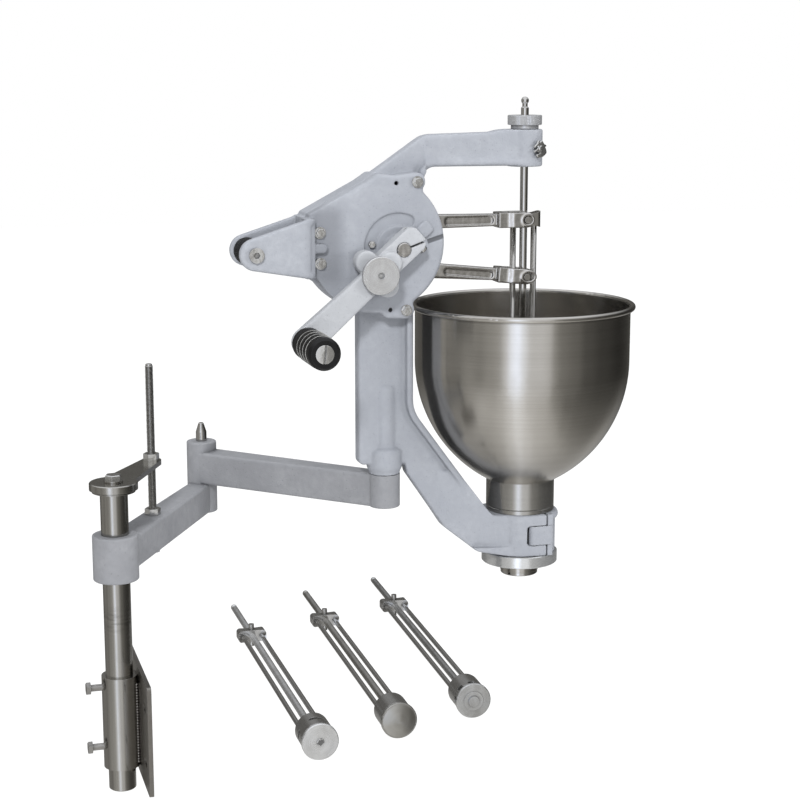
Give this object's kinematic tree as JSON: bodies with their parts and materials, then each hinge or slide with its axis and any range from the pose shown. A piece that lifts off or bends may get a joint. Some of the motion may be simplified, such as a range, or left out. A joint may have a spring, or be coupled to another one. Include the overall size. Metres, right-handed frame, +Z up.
{
  "type": "donut depositor",
  "caption": "Hand-cranked donut depositor: batter hopper with a twin-lever plunger in a cast head, carried by a jointed swing arm on a clamped column with spare plungers.",
  "frame": {"origin": "centre of the mount plate's outer face, in the middle of its four slots", "axes": "+X out of the mount plate's outer face and towards the hopper, +Y to the far side, away from the crank grip, +Z up along the column"},
  "size_m": [0.7002, 0.7791, 0.8031],
  "materials": {
    "cast_light": "blasted casting with a pale coat",
    "cast_grey": "blasted casting",
    "grip_rubber": "moulded, ribbed",
    "spun_steel": "spun and brushed",
    "turned_aluminium": "turned",
    "bearing_bronze": "turned",
    "dark_steel": "blackened",
    "fastener_steel": "bright",
    "ground_steel": "ground"
  },
  "bodies": {
    "mount_bracket": {"mount_plate": "ground_steel", "clamp_sleeve": "ground_steel", "set_screws": "fastener_steel"},
    "column": {"column": "ground_steel", "cap_bolt": "fastener_steel", "cap_washer": "fastener_steel"},
    "lift_bracket": {"lift_bracket": "ground_steel", "height_nut": "fastener_steel"},
    "lower_arm": {"lower_arm": "cast_grey", "lift_rod": "ground_steel", "lock_nut": "fastener_steel", "elbow_pin": "ground_steel"},
    "upper_arm": {"upper_arm": "cast_grey", "head_pin": "ground_steel"},
    "head": {"head_frame": "cast_light", "side_cover": "cast_light", "cover_washers": "fastener_steel", "cover_bolts": "fastener_steel", "cover_dowels": "fastener_steel", "stop_bolt": "fastener_steel", "lever_pivots": "ground_steel", "camshaft_bushes": "bearing_bronze", "rear_grip_bolt": "fastener_steel", "guide_bush": "bearing_bronze", "hopper_bowl": "spun_steel", "hopper_neck": "spun_steel", "nozzle_tube": "ground_steel", "gate_pin": "ground_steel"},
    "crank": {"crank": "cast_light", "camshaft": "ground_steel", "shaft_key": "ground_steel", "cam_disc": "ground_steel", "clamp_screw": "fastener_steel", "grip_screw": "fastener_steel"},
    "crank_grip": {"crank_grip": "grip_rubber"},
    "index_knob": {"index_knob": "turned_aluminium"},
    "rear_grip": {"rear_grip": "grip_rubber"},
    "upper_lever": {"upper_lever": "ground_steel", "upper_roller": "ground_steel"},
    "lower_lever": {"lower_lever": "ground_steel", "lower_roller": "ground_steel"},
    "plunger_outer": {"crosshead": "ground_steel", "crosshead_studs": "ground_steel", "cutter_rods": "ground_steel", "cutter_sleeve": "ground_steel"},
    "plunger_inner": {"centre_rod": "ground_steel", "rod_block": "ground_steel", "cutter_disc": "ground_steel"},
    "guide_collar": {"guide_collar": "turned_aluminium"},
    "wing_screw": {"wing_screw": "dark_steel"},
    "gate": {"yoke_gate": "cast_light"},
    "nozzle_nut": {"nozzle_nut": "turned_aluminium"},
    "spare_disc_1": {"spare_disc_1": "ground_steel"},
    "spare_sleeve_1": {"spare_sleeve_1": "ground_steel"},
    "spare_disc_2": {"spare_disc_2": "ground_steel"},
    "spare_sleeve_2": {"spare_sleeve_2": "ground_steel"},
    "spare_disc_3": {"spare_disc_3": "ground_steel"},
    "spare_sleeve_3": {"spare_sleeve_3": "ground_steel"}
  },
  "joints": [
    {"name": "column_height", "type": "slide", "parent": "mount_bracket", "child": "column", "axis": [0, 0, 1], "range_m": [-0.025, 0.025]},
    {"name": "column_swing", "type": "hinge", "parent": "column", "child": "lift_bracket", "pos_m": [-0.0252, 0, 0.2762], "axis": [0, 0, 1], "range_deg": [-60, 60]},
    {"name": "arm_height", "type": "slide", "parent": "lift_bracket", "child": "lower_arm", "axis": [0, 0, 1], "range_m": [-0.08, 0.04]},
    {"name": "elbow_swing", "type": "hinge", "parent": "lower_arm", "child": "upper_arm", "pos_m": [0.12207, 0.26136, 0.2188], "axis": [0, 0, 1], "range_deg": [-45, 45]},
    {"name": "head_swing", "type": "hinge", "parent": "upper_arm", "child": "head", "pos_m": [0.31653, 0.06691, 0.2606], "axis": [0, 0, 1], "range_deg": [-60, 60]},
    {"name": "crank_turn", "type": "hinge", "parent": "head", "child": "crank", "pos_m": [0.32453, 0.06691, 0.543], "axis": [0, 1, 0], "range_deg": [0, 110]},
    {"name": "grip_spin", "type": "hinge", "parent": "crank", "child": "crank_grip", "pos_m": [0.20507, 0.00091, 0.43806], "axis": [0, 1, 0], "continuous": true},
    {"name": "knob_pull", "type": "slide", "parent": "crank", "child": "index_knob", "axis": [0, -1, 0], "range_m": [0, 0.008], "stiffness_N_per_m": 800, "springref_m": -0.004},
    {"name": "rear_grip_spin", "type": "hinge", "parent": "head", "child": "rear_grip", "pos_m": [0.15052, 0.06691, 0.5401], "axis": [0, 1, 0], "continuous": true},
    {"name": "upper_lever_swing", "type": "hinge", "parent": "head", "child": "upper_lever", "pos_m": [0.26153, 0.06691, 0.5702], "axis": [0, 1, 0], "range_deg": [0, 3.2]},
    {"name": "lower_lever_swing", "type": "hinge", "parent": "head", "child": "lower_lever", "pos_m": [0.26153, 0.06691, 0.5218], "axis": [0, 1, 0], "range_deg": [0, 6.01]},
    {"name": "sleeve_drive", "type": "slide", "parent": "head", "child": "plunger_outer", "axis": [0, 0, 1], "range_m": [-0.01305, 0]},
    {"name": "disc_drive", "type": "slide", "parent": "head", "child": "plunger_inner", "axis": [0, 0, 1], "range_m": [-0.02505, 0]},
    {"name": "collar_turn", "type": "hinge", "parent": "head", "child": "guide_collar", "pos_m": [0.49552, 0.06691, 0.6801], "axis": [0, 0, 1], "continuous": true},
    {"name": "wing_screw_turn", "type": "hinge", "parent": "head", "child": "wing_screw", "pos_m": [0.49552, 0.06691, 0.6576], "axis": [0.4067, -0.9135, 0], "continuous": true},
    {"name": "gate_swing", "type": "hinge", "parent": "head", "child": "gate", "pos_m": [0.49952, 0.02691, 0.2038], "axis": [0, 0, -1], "range_deg": [0, 100]},
    {"name": "nut_turn", "type": "hinge", "parent": "head", "child": "nozzle_nut", "pos_m": [0.49552, 0.06691, 0.137], "axis": [0, 0, 1], "continuous": true},
    {"name": "spare_lift_1", "type": "slide", "parent": "mount_bracket", "child": "spare_disc_1", "axis": [0, 0, 1], "range_m": [0, 0.03]},
    {"name": "spare_sleeve_slide_1", "type": "slide", "parent": "spare_disc_1", "child": "spare_sleeve_1", "axis": [0.0122, 0.9998, -0.0157], "range_m": [0, 0.05]},
    {"name": "spare_lift_2", "type": "slide", "parent": "mount_bracket", "child": "spare_disc_2", "axis": [0, 0, 1], "range_m": [0, 0.03]},
    {"name": "spare_sleeve_slide_2", "type": "slide", "parent": "spare_disc_2", "child": "spare_sleeve_2", "axis": [0.0297, 0.9994, -0.0157], "range_m": [0, 0.05]},
    {"name": "spare_lift_3", "type": "slide", "parent": "mount_bracket", "child": "spare_disc_3", "axis": [0, 0, 1], "range_m": [0, 0.03]},
    {"name": "spare_sleeve_slide_3", "type": "slide", "parent": "spare_disc_3", "child": "spare_sleeve_3", "axis": [0.0471, 0.9988, -0.0157], "range_m": [0, 0.05]}
  ],
  "couplings": [
    {"joint": "upper_lever_swing", "follows": "crank_turn", "ratio": 0.028907},
    {"joint": "lower_lever_swing", "follows": "crank_turn", "ratio": 0.054432},
    {"joint": "sleeve_drive", "follows": "crank_turn", "m_per_rad": -0.0067713},
    {"joint": "disc_drive", "follows": "crank_turn", "m_per_rad": -0.013022}
  ]
}
